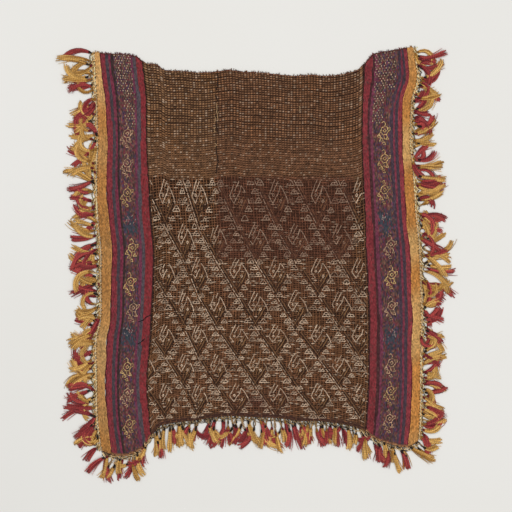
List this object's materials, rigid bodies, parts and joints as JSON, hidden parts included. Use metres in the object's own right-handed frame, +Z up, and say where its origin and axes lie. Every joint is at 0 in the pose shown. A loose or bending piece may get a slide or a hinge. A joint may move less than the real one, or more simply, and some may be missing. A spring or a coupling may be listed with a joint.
{
  "type": "fringed woven shoulder cloth",
  "caption": "Rectangular open-weave brown cloth with brocaded diamond lattice, striped side bands, ochre edging and red and ochre tufted fringe on three sides, laid flat.",
  "frame": {"origin": "on the ground plane under the middle of the whole footprint, fringe included", "axes": "+Z up out of the face of the cloth, +Y along the cloth towards its raw edge, +X across it towards its right side band"},
  "size_m": [0.6026, 0.6554, 0.0053],
  "materials": {
    "field_cloth": "matt brown open weave with tan floats",
    "band_cloth": "matt striped wool in red, plum and navy",
    "ochre_tape": "matt ochre wool",
    "tuft_yarn": "soft red and ochre wool yarn"
  },
  "bodies": {
    "root": {"field_web": "field_cloth", "band_left": "band_cloth", "band_right": "band_cloth", "tape_left": "ochre_tape", "tape_right": "ochre_tape", "fringe_left": "tuft_yarn", "fringe_bottom": "tuft_yarn", "fringe_right": "tuft_yarn"}
  },
  "joints": []
}
